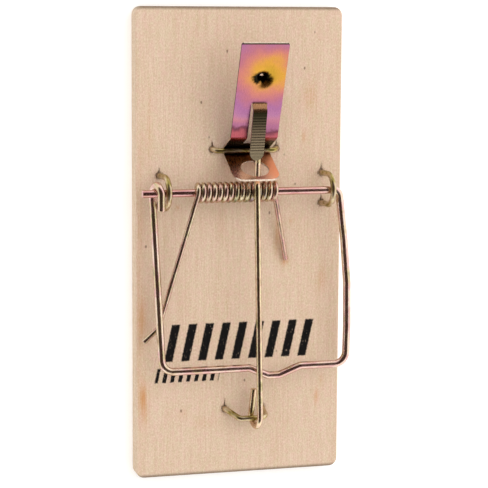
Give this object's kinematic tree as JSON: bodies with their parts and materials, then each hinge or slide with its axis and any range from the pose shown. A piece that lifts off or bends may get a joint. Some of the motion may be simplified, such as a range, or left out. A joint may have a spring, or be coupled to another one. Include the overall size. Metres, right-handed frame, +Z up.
{
  "type": "snap mouse trap",
  "caption": "Flat wooden snap mouse trap, set: sprung wire strike bar held by a locking bar whose tip passes through a folded sheet bait pedal.",
  "frame": {"origin": "centre of the board's underside, the face that rests on the floor", "axes": "+Z up out of the board's top face, +Y along the board towards the bait end, +X across the board"},
  "size_m": [0.0459, 0.1, 0.0191],
  "materials": {
    "board_wood": "bare sawn and sanded pale poplar, fine straight grain along the length",
    "strike_wire": "yellow zinc-plated steel wire, bright",
    "spring_wire": "yellow zinc-plated spring wire, bright with pink and green tints",
    "staple_wire": "yellow zinc-plated steel wire, olive gold",
    "locking_wire": "yellow zinc-plated steel wire, bright",
    "pedal_sheet": "iridescent yellow zinc-plated steel sheet, pink to orange"
  },
  "bodies": {
    "base": {"base_board": "board_wood", "axle_staple_left": "staple_wire", "axle_staple_right": "staple_wire", "hold_down_staple": "staple_wire", "pedal_staple": "staple_wire", "torsion_spring": "spring_wire"},
    "strike_bar": {"strike_bar": "strike_wire"},
    "hold_down_bar": {"hold_down_bar": "locking_wire"},
    "bait_pedal": {"bait_pedal": "pedal_sheet"}
  },
  "joints": [
    {"name": "strike_swing", "type": "hinge", "parent": "base", "child": "strike_bar", "pos_m": [0, 0.0116, 0.0096], "axis": [-1, 0, 0], "range_deg": [0, 187.5], "deforming": ["torsion_spring"]},
    {"name": "hold_down_swing", "type": "hinge", "parent": "base", "child": "hold_down_bar", "pos_m": [0, -0.03735, 0.0076], "axis": [1, 0, 0], "range_deg": [0, 175]},
    {"name": "pedal_press", "type": "hinge", "parent": "base", "child": "bait_pedal", "pos_m": [0, 0.0199, 0.0053], "axis": [-1, 0, 0], "range_deg": [0, 30]}
  ]
}
